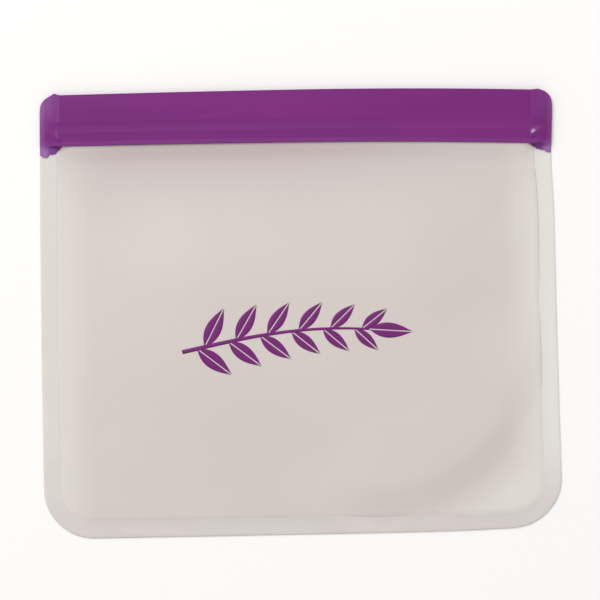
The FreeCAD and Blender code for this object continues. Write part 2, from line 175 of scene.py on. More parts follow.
class BAG_PG_strip(bpy.types.PropertyGroup):
    """The coloured press-to-close strip."""
    colour: paint("Colour", "Colour of the strip", (0.174, 0.014, 0.176))
    thin_colour: paint("Thin colour", "Colour where the strip was melted thin", (0.31, 0.13, 0.38))
    pooled_colour: paint("Pooled colour", "Colour where it ran together thickly", (0.165, 0.05, 0.27))
    mesh: length("Mesh", "Spacing of the strip's mesh along its length", 2.0 * MM)
    rows: IntProperty(name="Rows", description="Rows of mesh across the strip", default=44, min=8)
    lip: length("Lip", "Height of the front lip's edge above the floor", LIP_FACE + 0.8 * MM)
    ridge: length("Ridge", "How far a track shows through the front tape", 0.16 * MM)
    groove: length("Groove", "Depth of the weld line above the strip's lower edge", 0.14 * MM)


class BAG_PG_print(bpy.types.PropertyGroup):
    """The printed sprig."""
    colour: paint("Colour", "Colour of the ink", (0.17, 0.017, 0.165))
    thick: length("Thickness", "Thickness of the ink", 0.08 * MM)


class BAG_PG_stage(bpy.types.PropertyGroup):
    """The floor, the lights and the camera."""
    floor: paint("Floor", "Colour of the floor", (0.95, 0.945, 0.935))
    sky: paint("Room", "Colour of the light all round", (1.0, 0.99, 0.975))
    room_light: FloatProperty(name="Room light", description="Strength of the light all round", default=0.68)
    key_light: FloatProperty(name="Key light", description="Power of the large soft light", default=36.5)
    turn: FloatProperty(
        name="Turn", description="How far the bag lies turned", default=math.radians(1.1), subtype="ANGLE"
    )
    across: length("Across", "Width of the floor in view", 236.3 * MM)
    lens: FloatProperty(name="Lens", description="Focal length of the camera", default=100, unit="CAMERA")


GROUPS = {
    "lay": BAG_PG_lay,
    "film": BAG_PG_film,
    "border": BAG_PG_border,
    "strip": BAG_PG_strip,
    "print_": BAG_PG_print,
    "stage": BAG_PG_stage,
}


class BAG_PG_settings(bpy.types.PropertyGroup):
    """Everything that a user of the bag may change."""
    lay: PointerProperty(type=BAG_PG_lay)
    film: PointerProperty(type=BAG_PG_film)
    border: PointerProperty(type=BAG_PG_border)
    strip: PointerProperty(type=BAG_PG_strip)
    print_: PointerProperty(type=BAG_PG_print)
    stage: PointerProperty(type=BAG_PG_stage)


def settings():
    """The bag's sizes and colours, as set in the scene."""
    return bpy.context.scene.bag


# ---------------------------------------------------------------- shape helpers

def eased(x):
    """0 to 1 with level ends."""
    x = min(max(x, 0.0), 1.0)
    return x * x * (3 - 2 * x)


def hump(x, width):
    """1 at 0, falling smoothly to nothing at about twice the width."""
    return math.exp(-((x / width) ** 2))


def grid(low, high, spacing, rows=None):
    """A flat mesh between two corners, in the XY plane."""
    bm = bmesh.new()
    wide, tall = high[0] - low[0], high[1] - low[1]
    across = max(1, round(wide / spacing))
    up = rows or max(1, round(tall / spacing))
    bmesh.ops.create_grid(bm, x_segments=across, y_segments=up, size=0.5)
    bmesh.ops.scale(bm, vec=(wide, tall, 1), verts=bm.verts)
    bmesh.ops.translate(bm, vec=((low[0] + high[0]) / 2, (low[1] + high[1]) / 2, 0), verts=bm.verts)
    return bm


def round_corner(bm, centre, radius, side, steps=14):
    """Cuts a bottom corner of a flat mesh round, by planes that touch its arc. side is -1 left, 1 right."""
    for step in range(steps):
        angle = math.pi / 2 * (step + 0.5) / steps
        outward = Vector((side * math.sin(angle), -math.cos(angle), 0))
        geometry = list(bm.verts) + list(bm.edges) + list(bm.faces)
        bmesh.ops.bisect_plane(
            bm, geom=geometry, plane_co=Vector(centre) + outward * radius, plane_no=outward,
            clear_outer=True, dist=0.01 * MM,
        )


def sweep(bm, section, moves):
    """Carries a closed section along straight runs and turns, and closes both ends."""
    verts = [bm.verts.new(point) for point in section]
    edges = [bm.edges.new(pair) for pair in zip(verts, verts[1:] + verts[:1])]
    geometry = verts + edges
    for steps, shift, angle, centre in moves:
        last = bmesh.ops.spin(
            bm, geom=geometry, cent=centre, axis=(0, 0, 1), dvec=Vector(shift) / steps,
            angle=angle, steps=steps, use_duplicate=False,
        )
        geometry = last["geom_last"]
    rims = [edge for edge in bm.edges if edge.is_boundary]
    bmesh.ops.holes_fill(bm, edges=rims, sides=0)
    bmesh.ops.recalc_face_normals(bm, faces=bm.faces)


def run(steps, shift):
    """A straight move for sweep."""
    return (steps, shift, 0, (0, 0, 0))


def turn(steps, angle, centre):
    """A turn about an upright line, for sweep."""
    return (steps, (0, 0, 0), angle, centre)


def lie(bm):
    """Moves a piece's points from the flat pattern to where the soft bag lies."""
    lay = settings().lay
    waist_at, waist_reach = BAND_FOOT - 6 * MM, 14 * MM
    for vert in bm.verts:
        x, y, _ = vert.co
        right = x > 0
        up, out = (y - BOTTOM) / (TOP - BOTTOM), abs(x) / HALF_WIDTH
        drop, lift = (lay.right_drop, lay.right_lift) if right else (lay.left_drop, lay.left_lift)
        waist = lay.waist * out ** 4 * hump(y - waist_at, waist_reach) if right else 0
        sag = lay.band_sag + lay.band_tilt * x / HALF_WIDTH
        hang = min((TOP - y) / (TOP - BAND_FOOT), (y - BOTTOM) / (BAND_FOOT - BOTTOM))
        vert.co.x = x * (1 - lay.narrowing / HALF_WIDTH * up) - lay.sway * math.sin(math.pi * up) - waist
        y += lay.drawn_in * (1 - 2 * up) - sag * hang
        vert.co.y = y - drop * up * out ** 2 + lift * (1 - up) ** 2 * out ** 4


def piece(name, bm, material, slot, *nodes):
    """A finished mesh as an object that stands for the given nodes."""
    bm.normal_update()
    for face in bm.faces:
        face.smooth = True
    mesh = bpy.data.meshes.new(name)
    bm.to_mesh(mesh)
    bm.free()
    mesh.materials.append(material)
    obj = bpy.data.objects.new(name, mesh)
    bpy.context.scene.collection.objects.link(obj)
    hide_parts(*nodes)
    return obj


def thicken(obj, thick, offset=0.0, edge=0.0):
    """Gives a sheet its wall, and rounds the rim."""
    wall = obj.modifiers.new("wall", "SOLIDIFY")
    wall.thickness = thick
    wall.offset = offset
    if edge:
        soften(obj, edge)


def soften(obj, edge):
    """Rounds the sharp edges of a piece."""
    rim = obj.modifiers.new("rim", "BEVEL")
    rim.width = edge
    rim.segments = 2
    rim.limit_method = "ANGLE"
    rim.angle_limit = math.radians(50)
    rim.harden_normals = True


def bow(obj):
    """The piece bends with the mouth: with the back at both side welds, with the front in the middle."""
    product = None
    for side in (-1, 1):
        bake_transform(obj, BACK, FRONT, start=(side * WELD_SIDE, 0, 0), end=(0, 0, 0))
        weights = [value.value for value in obj.data.attributes["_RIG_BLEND"].data]
        product = weights if product is None else [a * b for a, b in zip(product, weights)]
    obj.data.attributes["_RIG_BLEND"].data.foreach_set("value", product)


# ---------------------------------------------------------------- materials

def new_material(name):
    """A material, its nodes, its shader and the object coordinates."""
    material = bpy.data.materials.new(name)
    material.use_nodes = True
    tree = material.node_tree
    shader = tree.nodes["Principled BSDF"]
    place = tree.nodes.new("ShaderNodeTexCoord")
    return material, tree, shader, place.outputs["Object"]


def attribute(tree, name):
    """What a mesh says about each of its points, under that name."""
    node = tree.nodes.new("ShaderNodeAttribute")
    node.attribute_name = name
    return node.outputs["Fac"]


def stretched(tree, vector, scale):
    """Coordinates scaled differently along each axis."""
    mapping = tree.nodes.new("ShaderNodeMapping")
    mapping.inputs["Scale"].default_value = scale
    tree.links.new(vector, mapping.inputs["Vector"])
    return mapping.outputs["Vector"]


def noise(tree, vector, scale, detail):
    """Noise of that many features per metre."""
    node = tree.nodes.new("ShaderNodeTexNoise")
    node.inputs["Scale"].default_value = scale
    node.inputs["Detail"].default_value = detail
    tree.links.new(vector, node.inputs["Vector"])
    return node.outputs["Fac"]


def spread_over(tree, value, low, high, bottom=0.3, top=0.7):
    """Maps bottom to top, which is a noise's middle range, to low to high."""
    node = tree.nodes.new("ShaderNodeMapRange")
    node.inputs["From Min"].default_value = bottom
    node.inputs["From Max"].default_value = top
    node.inputs["To Min"].default_value = low
    node.inputs["To Max"].default_value = high
    tree.links.new(value, node.inputs["Value"])
    return node.outputs["Result"]


def mixed(tree, factor, first, second):
    """A colour between two, by a factor. Either may be a colour or a socket."""
    node = tree.nodes.new("ShaderNodeMix")
    node.data_type = "RGBA"
    tree.links.new(factor, node.inputs["Factor"])
    for socket, colour in ((node.inputs[6], first), (node.inputs[7], second)):
        if hasattr(colour, "is_linked"):
            tree.links.new(colour, socket)
        else:
            socket.default_value = (*colour, 1)
    return node.outputs[2]


def scaled(colour, factor):
    """A colour made darker or lighter."""
    return tuple(min(1.0, channel * factor) for channel in colour)


def mottled(tree, pattern, colour, dark, light):
    """A colour that a noise makes darker and lighter."""
    return mixed(tree, spread_over(tree, pattern, 0, 1), scaled(colour, dark), scaled(colour, light))


def bumped(tree, shader, height, depth):
    """A bump of that depth in metres."""
    node = tree.nodes.new("ShaderNodeBump")
    node.inputs["Distance"].default_value = depth
    tree.links.new(height, node.inputs["Height"])
    tree.links.new(node.outputs["Normal"], shader.inputs["Normal"])


def film_material():
    """Frosted film: waxy, slightly see-through, with a fine grain and slow clouds of thickness."""
    material, tree, shader, place = new_material("frosted_sheet")
    film = settings().film
    grain = noise(tree, place, 2600, detail=1)
    tone = mottled(tree, noise(tree, place, 14, detail=3), film.colour, 0.985, 1.015)
    # Painted light: the front sheet made paler by the side welds and in one corner.
    tone = mixed(tree, attribute(tree, "edge"), tone, film.painted_light_colour)
    # Painted shade below the strip, over the film's tone.
    tone = mixed(tree, attribute(tree, "painted_strip_shade_mask"), tone, film.strip_shade_colour)
    tree.links.new(tone, shader.inputs["Base Color"])
    tree.links.new(spread_over(tree, grain, 0.42, 0.55), shader.inputs["Roughness"])
    bumped(tree, shader, grain, 0.012 * MM)
    shader.inputs["Transmission Weight"].default_value = 0.18
    shader.inputs["IOR"].default_value = PLASTIC_IOR
    shader.inputs["Specular IOR Level"].default_value = 0.4
    return material


def border_material():
    """Fused film: clearer and smoother, with a faint fine bump."""
    material, tree, shader, place = new_material("fused_border")
    border = settings().border
    clouds = noise(tree, place, 60, detail=3)
    tone = mottled(tree, clouds, border.colour, 0.97, 1.03)
    # Clearer fused film up both sides, with painted light stronger at the right.
    tone = mixed(tree, attribute(tree, "clearness_and_light"), tone, border.clear_and_lit_colour)
    tree.links.new(tone, shader.inputs["Base Color"])
    tree.links.new(spread_over(tree, clouds, 0.28, 0.4), shader.inputs["Roughness"])
    bumped(tree, shader, noise(tree, place, 500, detail=2), 0.03 * MM)
    shader.inputs["Transmission Weight"].default_value = 0.3
    shader.inputs["IOR"].default_value = PLASTIC_IOR
    return material


def strip_material():
    """Satin extruded plastic: fine lines along its length and slow changes of tone."""
    material, tree, shader, place = new_material("satin_strip")
    strip = settings().strip
    lines = noise(tree, stretched(tree, place, (6, 900, 900)), 1, detail=3)
    clouds = noise(tree, stretched(tree, place, (14, 60, 60)), 1, detail=2)
    tone = mottled(tree, clouds, strip.colour, 0.94, 1.08)
    tone = mixed(tree, attribute(tree, "thinness"), tone, strip.thin_colour)
    tree.links.new(tone, shader.inputs["Base Color"])
    tree.links.new(spread_over(tree, lines, 0.42, 0.54), shader.inputs["Roughness"])
    bumped(tree, shader, lines, 0.01 * MM)
    shader.inputs["IOR"].default_value = PLASTIC_IOR
    shader.inputs["Specular IOR Level"].default_value = 0.2
    return material


def fused_material():
    """The same plastic, melted: pale where squeezed thin, violet where it pooled, glossy on the pucker."""
    material, tree, shader, place = new_material("melted_strip")
    strip = settings().strip
    gloss = attribute(tree, "gloss")
    blotches = spread_over(tree, noise(tree, place, 420, detail=3), 0, 0.05)
    tone = mixed(tree, blotches, strip.colour, scaled(strip.thin_colour, 0.7))
    tone = mixed(tree, attribute(tree, "violet"), tone, strip.pooled_colour)
    tone = mixed(tree, attribute(tree, "thinness"), tone, strip.thin_colour)
    tree.links.new(tone, shader.inputs["Base Color"])
    tree.links.new(spread_over(tree, gloss, 0.46, 0.18, 0, 1), shader.inputs["Roughness"])
    tree.links.new(gloss, shader.inputs["Coat Weight"])
    bumped(tree, shader, noise(tree, place, 600, detail=1), 0.02 * MM)
    shader.inputs["Coat Roughness"].default_value = 0.15
    shader.inputs["IOR"].default_value = PLASTIC_IOR
    shader.inputs["Specular IOR Level"].default_value = 0.25
    return material


def ink_material():
    """Printing ink: flat, with a trace of the film's grain."""
    material, tree, shader, place = new_material("flat_ink")
    grain = noise(tree, place, 1500, detail=2)
    tree.links.new(mottled(tree, grain, settings().print_.colour, 0.94, 1.1), shader.inputs["Base Color"])
    tree.links.new(spread_over(tree, grain, 0.4, 0.5), shader.inputs["Roughness"])
    bumped(tree, shader, grain, 0.01 * MM)
    shader.inputs["Specular IOR Level"].default_value = 0.2
    return material


def floor_material():
    """Plain pale paper."""
    material, tree, shader, place = new_material("pale_floor")
    fibres = noise(tree, place, 300, detail=3)
    tree.links.new(mottled(tree, fibres, settings().stage.floor, 0.997, 1.003), shader.inputs["Base Color"])
    shader.inputs["Roughness"].default_value = 0.9
    shader.inputs["Specular IOR Level"].default_value = 0.1
    return material


def shared(name, make):
    """A material that several pieces share, made once."""
    return bpy.data.materials.get(name) or make()


# ---------------------------------------------------------------- the film

def weld_distance(x, y):
    """How far a place is inside the weld line of the sides, the bottom and the two round corners."""
    radius = settings().film.outer_round - SEAM_WIDTH
    out_x, out_y = abs(x) - WELD_SIDE + radius, WELD_FOOT + radius - y
    return radius - math.hypot(max(out_x, 0), max(out_y, 0)) - min(max(out_x, out_y), 0)


def fold_at(x, y):
    """How far a place is outside the slack fold's ridge, and how much of the fold is there."""
    away = Vector((x, y)) - FOLD_MIDDLE
    toward = away.normalized().dot(FOLD_FACING)
    return away.length - FOLD_RADIUS, eased(2 * toward - 0.7)


def weld_edge_height(inset):
    """Middle of the front sheet just inside the weld: up over the shoulder, with a faint dip beyond it."""
    film = settings().film
    shoulder_reach, dip, dip_at, dip_wide = 1.3 * MM, 0.1 * MM, 2.6 * MM, 0.6 * MM
    shoulder = film.shoulder * (1 - math.exp(-inset / shoulder_reach))
    return film.edge + shoulder - dip * hump(inset - dip_at, dip_wide)


def puff_above_edge(x, y, inset):
    """How far the puff, the slack fold and the slow waves lift the front sheet."""
    film = settings().film
    fold_fall, wave_start = 15 * MM, 25 * MM
    across = eased((WELD_SIDE - abs(x)) / film.rise)
    middle = across * eased((y - WELD_FOOT) / (1.25 * film.rise))
    past, folded = fold_at(x, y)
    ridge = eased(1 + past / FOLD_RADIUS) * (1 - eased(past / fold_fall))
    wave = math.sin(x * 150 + y * 30 + 1)
    wave += 0.8 * math.sin(x * 62 - y * 88)
    wave += 0.6 * math.sin(x * 30 + y * 140)
    lift = (film.puff - film.edge) * middle + film.bulge * (1 - middle) * folded * ridge
    return lift + film.wave * wave * eased(inset / wave_start)


def front_sheet_height(x, y):
    """Middle of the front sheet's thickness above the floor."""
    film = settings().film
    side, below, inset = WELD_SIDE - abs(x), BAND_FOOT - y, max(0, weld_distance(x, y))
    weld = weld_edge_height(inset)
    puffed = weld + puff_above_edge(x, y, inset)
    lap, valley_reach = FRONT_INSIDE - film.thick / 2, 7 * MM
    valley = film.valley + 0.4 * MM * eased((x - 10 * MM) / (70 * MM))
    valley += 0.3 * MM * eased((-x - 30 * MM) / (50 * MM))
    height = lap + (valley - lap) * eased(below / valley_reach)
    height += (puffed - valley) * eased(below / film.mouth_rise)
    beside_end = eased(side / (4 * MM + 0.8 * max(below, 0)))
    in_strip = 1 - eased((below + 1.5 * MM) / (1.5 * MM))
    far_below = eased((below - 8 * MM) / (40 * MM))
    return weld + (height - weld) * max(beside_end, in_strip, far_below)


def painted_strip_shade(x, y):
    """Painted shade on the front sheet below the strip, tinged with its purple: a dark rim at the strip's
    lower edge and a broad shade fading downwards, least at the far right.
    """
    below = max(0, BAND_FOOT - y)
    rim, painted_shade = 0.17 * math.exp(-below / (3 * MM)), 0.4 * hump(below, 18 * MM)
    right_loss = 0.7 * eased((x + 10 * MM) / (100 * MM))
    left_loss = 0.4 * eased((-x - 70 * MM) / (20 * MM))
    return (rim + painted_shade) * (1 - right_loss - left_loss)


def painted_pale_light(x, y):
    """Painted light on the front sheet: how pale it is by the side welds, more at the right than the left,
    and in one corner past the slack fold.
    """
    past, folded = fold_at(x, y)
    by_side = (1 if x > 0 else 0.7) * (1 - eased((WELD_SIDE - abs(x)) / (16 * MM)))
    return max(by_side, folded * eased((past - 13 * MM) / (14 * MM)))


def sheet_outline():
    """A flat mesh of one sheet, with rows of faces that follow the weld, and a rim that runs into it."""
    film = settings().film
    core = 3 * MM
    side, radius = WELD_SIDE - core, film.outer_round - SEAM_WIDTH - core
    bm = grid((-side, WELD_FOOT + core), (side, LAP_TOP), film.mesh)
    for sign in (-1, 1):
        round_corner(bm, (sign * (side - radius), WELD_FOOT + core + radius, 0), radius, sign)
    for distance in (0.8, 0.6, 0.5, 0.4, 0.35, 0.35, 0.5):
        widen(bm, distance * MM, side - radius, WELD_FOOT + core + radius)
    return bm


def widen(bm, distance, core_side, core_foot):
    """Adds a row of faces outside the sides, the bottom and the round corners."""
    mouth = LAP_TOP - 0.01 * MM
    rim = [edge for edge in bm.edges if edge.is_boundary and any(vert.co.y < mouth for vert in edge.verts)]
    new = bmesh.ops.extrude_edge_only(bm, edges=rim)["geom"]
    for vert in (item for item in new if isinstance(item, bmesh.types.BMVert)):
        core = Vector((min(max(vert.co.x, -core_side), core_side), max(vert.co.y, core_foot), 0))
        vert.co += (vert.co - core).normalized() * distance


def make_front_film():
    """The front sheet, puffed, lapped inside the strip and welded round three sides."""
    bm = sheet_outline()
    # Painted shade below the strip, stored on each point of the front sheet.
    painted_strip_shade_mask = bm.verts.layers.float.new("painted_strip_shade_mask")
    # The edge attribute holds painted light: the front sheet made paler by the side welds and in one corner.
    edge = bm.verts.layers.float.new("edge")
    for vert in bm.verts:
        vert.co.z = front_sheet_height(vert.co.x, vert.co.y)
        vert[painted_strip_shade_mask] = painted_strip_shade(vert.co.x, vert.co.y)
        vert[edge] = painted_pale_light(vert.co.x, vert.co.y)
    lie(bm)
    film = settings().film
    obj = piece("front_sheet", bm, shared("frosted_sheet", film_material), "frosted_film", "front_film")
    thicken(obj, film.thick)
    bow(obj)
    return obj


def make_back_film():
    """The back sheet: flat on the floor, stepping up over the back tape, with its rim inside the border."""
    film = settings().film
    bm = sheet_outline()
    step, step_long, rim_lift = BAND_FOOT - 3.3 * MM, 3 * MM, 0.2 * MM
    for vert in bm.verts:
        vert.co.z = film.thick / 2 + TAPE_THICK * eased((vert.co.y - step) / step_long)
        if weld_distance(vert.co.x, vert.co.y) < -0.01 * MM and vert.co.y < step:
            vert.co.z += rim_lift
    lie(bm)
    obj = piece("back_sheet", bm, shared("frosted_sheet", film_material), "frosted_film", "back_film")
    thicken(obj, film.thick)
    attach(obj, BACK)


def make_border():
    """The welded border, swept down one side, along the bottom and up the other side."""
    film, border = settings().film, settings().border
    top, width = SEAM_THICK, SEAM_WIDTH
    # The section from the outer edge inwards: flat underneath, a bead along the weld line, a rounded rim.
    section = [
        (0.0, 0.45 * top),
        (0.02 * width, 0.12 * top),
        (0.07 * width, 0.0),
        (width, 0.0),
        (width, top),
        (0.97 * width, top + 0.8 * border.bead),
        (0.93 * width, top + border.bead),
        (0.88 * width, top + 0.8 * border.bead),
        (0.82 * width, top + 0.35 * border.bead),
        (0.74 * width, top),
        (0.5 * width, 0.95 * top),
        (0.25 * width, 0.93 * top),
        (0.12 * width, 0.9 * top),
        (0.05 * width, 0.8 * top),
        (0.01 * width, 0.64 * top),
    ]
    start = BAND_FOOT + 0.4 * MM
    points = [Vector((-HALF_WIDTH + inward, start, height)) for inward, height in section]
    radius = film.outer_round
    left = (-HALF_WIDTH + radius, BOTTOM + radius, 0)
    right = (HALF_WIDTH - radius, BOTTOM + radius, 0)
    down = start - (BOTTOM + radius)
    across = 2 * (HALF_WIDTH - radius)
    bm = bmesh.new()
    sweep(bm, points, [
        run(50, (0, -down, 0)),
        turn(18, math.pi / 2, left),
        run(60, (across, 0, 0)),
        turn(18, math.pi / 2, right),
        run(50, (0, down, 0)),
    ])
    clear_and_lit = bm.verts.layers.float.new("clearness_and_light")
    clear_from = HALF_WIDTH - 16 * MM
    for vert in bm.verts:
        # Painted light: the clearness grows from left to right, over the fused film's own clearness near the
        # sides.
        painted_right_light = 0.7 + 0.3 * vert.co.x / HALF_WIDTH
        up_side = eased((vert.co.y - BOTTOM) / (40 * MM))
        vert[clear_and_lit] = painted_right_light * up_side * eased((abs(vert.co.x) - clear_from) / (10 * MM))
    lie(bm)
    nodes = ("left_side_seam", "right_side_seam", "bottom_seam")
    obj = piece("welded_border", bm, shared("fused_border", border_material), "welded_film", *nodes)
    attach(obj, BACK)


# ---------------------------------------------------------------- the press-to-close strip

def track_lines():
    """Where the middles of the tracks are."""
    boxes = [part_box(f"{track}_zip_rib") for track in ("upper", "lower")]
    return [(low.y + high.y) / 2 for low, high in boxes]


def strip_face(x, y):
    """Outside of the front tape above the floor: level over the tracks, and leaning back at the lip."""
    strip = settings().strip
    lip_root, lip_curve, track_wide = TOP - 9 * MM, 1.35, 1.1 * MM
    groove_at, groove_wide, slow_depth = BAND_FOOT + 1.7 * MM, 0.35 * MM, 0.08 * MM
    leaning = max(0, (y - lip_root) / (TOP - lip_root)) ** lip_curve
    height = FRONT_FACE + (strip.lip - FRONT_FACE) * leaning
    for line in track_lines():
        height += strip.ridge * hump(y - line, track_wide)
    height -= strip.groove * hump(y - groove_at, groove_wide)
    slow = math.sin(x * 39 + 0.6) * math.sin(x * 17 + y * 120)
    return height + slow_depth * slow * eased((y - BAND_FOOT) / (4 * MM))


def make_front_strip():
    """The front tape: thinner along its lower edge, with the tracks showing through."""
    strip = settings().strip
    end = WELD_SIDE - 0.3 * MM
    bm = grid((-end, BAND_FOOT), (end, TOP), strip.mesh, rows=strip.rows)
    thin = bm.verts.layers.float.new("thinness")
    for vert in bm.verts:
        vert.co.z = strip_face(vert.co.x, vert.co.y)
        up = vert.co.y - BAND_FOOT
        vert[thin] = 0.09 * hump(up, 1.4 * MM) + 0.05 * (1 - eased((up - 8 * MM) / (3 * MM)))
    lie(bm)
    obj = piece("front_strip", bm, shared("satin_strip", strip_material), "strip_plastic", "front_zip_tape")
    thicken(obj, TAPE_THICK, offset=-1, edge=0.3 * MM)
    bow(obj)


def make_back_strip():
    """The back tape, flat on the floor."""
    strip = settings().strip
    end = WELD_SIDE + 0.15 * MM
    bm = grid((-end, BAND_FOOT), (end, TOP), strip.mesh, rows=strip.rows // 2)
    for vert in bm.verts:
        vert.co.z = TAPE_THICK
    lie(bm)
    obj = piece("back_strip", bm, shared("satin_strip", strip_material), "strip_plastic", "back_zip_tape")
    thicken(obj, TAPE_THICK, offset=-1, edge=0.3 * MM)
    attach(obj, BACK)


def make_rib(track):
    """A male track: a foot under the front tape, a stem and a round head."""
    low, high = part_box(f"{track}_zip_rib")
    middle = (low.y + high.y) / 2
    foot, stem, radius = (high.y - low.y) / 2, 0.2 * MM, 0.39 * MM
    foot_base, head = high.z - 0.3 * MM, low.z + radius
    half = [(foot, high.z), (foot, foot_base), (stem, foot_base)]
    half += [
        (radius * math.sin(angle), head + radius * math.cos(angle))
        for angle in (math.pi * (0.2 + 0.8 * step / 7) for step in range(7))
    ]
    outline = half + [(0, low.z)] + [(-away, height) for away, height in reversed(half)]
    points = [Vector((-WELD_SIDE, middle + away, height)) for away, height in outline]
    bm = bmesh.new()
    sweep(bm, points, [run(TRACK_STEPS, (2 * WELD_SIDE, 0, 0))])
    lie(bm)
    node = f"{track}_zip_rib"
    obj = piece(f"{track}_rib", bm, shared("satin_strip", strip_material), "strip_plastic", node)
    bow(obj)


def make_channel(track):
    """A female track: a foot on the back tape, and two hooked jaws."""
    low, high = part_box(f"{track}_zip_channel")
    middle = (low.y + high.y) / 2
    foot, inside, wall, throat = (high.y - low.y) / 2, 0.59 * MM, 0.35 * MM, 0.3 * MM
    foot_top, hook = low.z + 0.3 * MM, high.z - 0.3 * MM
    half = [
        (foot, low.z),
        (foot, foot_top),
        (inside + wall, foot_top),
        (inside + wall, high.z - 0.1 * MM),
        (inside + wall - 0.1 * MM, high.z),
        (throat + 0.1 * MM, high.z),
        (throat, high.z - 0.1 * MM),
        (throat, hook),
        (inside, hook),
        (inside, foot_top),
    ]
    outline = half + [(-away, height) for away, height in reversed(half)]
    points = [Vector((-WELD_SIDE, middle + away, height)) for away, height in outline]
    bm = bmesh.new()
    sweep(bm, points, [run(TRACK_STEPS, (2 * WELD_SIDE, 0, 0))])
    lie(bm)
    node = f"{track}_zip_channel"
    obj = piece(f"{track}_channel", bm, shared("satin_strip", strip_material), "strip_plastic", node)
    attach(obj, BACK)


# ---------------------------------------------------------------- the crushed ends of the strip

def along(points, x):
    """The height at x of a smooth line through points sorted by x."""
    for (x0, y0), (x1, y1) in zip(points, points[1:]):
        if x <= x1:
            return y0 + (y1 - y0) * eased((x - x0) / (x1 - x0))
    return points[-1][1]


# Each crushed end, in millimetres: outwards from the weld line, and up from the strip's lower edge.
# foot is the lower outline of the melted colour, as how far it hangs below that edge at each place.
# fall is where the face starts to fall to its crushed thickness, and in which distance. pucker is where
# the tracks buckled: out, up, height and lean of its crest. bump and corner shape the upper outline.
# gloss is for the pucker, line is a painted highlight line just inside the weld, and pale for the melted
# film.
ENDS = {
    "left": {
        "side": -1,
        "foot": [
            (-2.5, -0.2), (-2.0, 0.3), (-0.5, 1.5), (1.0, 2.9),
            (2.8, 3.0), (4.2, 4.3), (5.4, 4.1), (7.0, 3.2),
        ],
        "fall": (-0.4, 4.6),
        "crushed": 1.8,
        "pucker": (-0.8, 3.0, 0.35, -0.45),
        "gloss": 0.3,
        "line": 0.2,
        "bump": 0.6,
        "corner": 6.2,
        "pale": 0.3,
    },
    "right": {
        "side": 1,
        "foot": [
            (-2.5, -0.2), (-1.8, 0.4), (-0.2, 1.2), (1.1, 2.0),
            (3.8, 2.5), (5.4, 3.3), (7.0, 3.4),
        ],
        "fall": (1.0, 5.2),
        "crushed": 2.3,
        "pucker": (-0.3, 3.9, 0.6, 0.5),
        "gloss": 1.0,
        "line": 0.0,
        "bump": 0.25,
        "corner": 5.6,
        "pale": 0.1,
    },
}


def end_top(out, end):
    """Upper outline of a crushed end: a small bump beside the weld line, and the round corner."""
    radius = end["corner"] * MM
    into = max(0.0, out - (SEAM_WIDTH - radius))
    arc = radius - math.sqrt(max(0.0, radius * radius - into * into))
    inner = 0.3 * MM * (1 - eased((out + SKIN) / (1.2 * MM)))
    return TOP + end["bump"] * MM * hump(out - 1.0 * MM, 1.1 * MM) - arc - inner


def pucker_at(out, y, end):
    """How far a place is above the crest where the tracks buckled, and how much of the buckle is there."""
    away, up, _, lean = end["pucker"]
    fold = (y - BAND_FOOT - up * MM) - lean * end["side"] * (out - away * MM)
    return fold, hump(out - away * MM, 2.4 * MM) * eased((out + SKIN) / (0.8 * MM))


def end_face(out, y, end):
    """Upper face of a crushed end: a skin over the strip, then down to the crushed thickness, with folds."""
    x = end["side"] * (WELD_SIDE + out)
    up = y - BAND_FOOT
    tape = strip_face(x, max(y, BAND_FOOT))
    sheet = front_sheet_height(end["side"] * min(abs(x), WELD_SIDE), y) + settings().film.thick / 2
    over_sheet = sheet + 0.3 * MM
    under = over_sheet + (tape - over_sheet) * eased((up + 0.3 * MM) / (0.5 * MM))
    skin = under - 0.06 * MM + 0.14 * MM * eased((out + SKIN) / (2 * MM))
    ripple = 0.1 * MM * math.sin(y * 700) * hump(out - 3 * MM, 3 * MM)
    crushed, tail = end["crushed"] * MM + ripple, SEAM_THICK + 0.3 * MM
    pressed = tail + (crushed - tail) * eased((up + 1.2 * MM) / (2.4 * MM))
    start, fall = end["fall"]
    height = skin + (pressed - skin) * eased((out - start * MM) / (fall * MM))
    fold, near = pucker_at(out, y, end)
    crest, trough = hump(fold, 1.2 * MM), 0.3 * hump(fold + 2 * MM, 1 * MM)
    height += end["pucker"][2] * MM * (crest - trough) * near
    return height * (0.45 + 0.55 * eased((SEAM_WIDTH - out) / (0.7 * MM)))


def end_tones(out, y, end):
    """How pale, how violet and how glossy the melted colour is at a place; the pale includes a painted
    highlight line.
    """
    up = y - BAND_FOOT
    pale = 0.9 * eased((2 * MM - up) / (4 * MM)) * eased((out - 2.4 * MM) / (2 * MM))
    pale += end["pale"] * eased((up - 7 * MM) / (7 * MM)) * eased((out + 0.4 * MM) / (3.2 * MM))
    pale += (0.04 + end["pale"]) * eased((out - 4 * MM) / (2 * MM))
    # A painted highlight: a thin pale line just inside the weld, in the upper part.
    pale += end["line"] * hump(out + 0.8 * MM, 0.35 * MM) * eased((up - 8 * MM) / (3 * MM))
    violet = 0.8 * hump(math.hypot(out - 1.8 * MM, up + 1.2 * MM), 2.2 * MM)
    fold, near = pucker_at(out, y, end)
    return min(1.0, pale), violet, end["gloss"] * hump(fold - 0.8 * MM, 1 * MM) * near


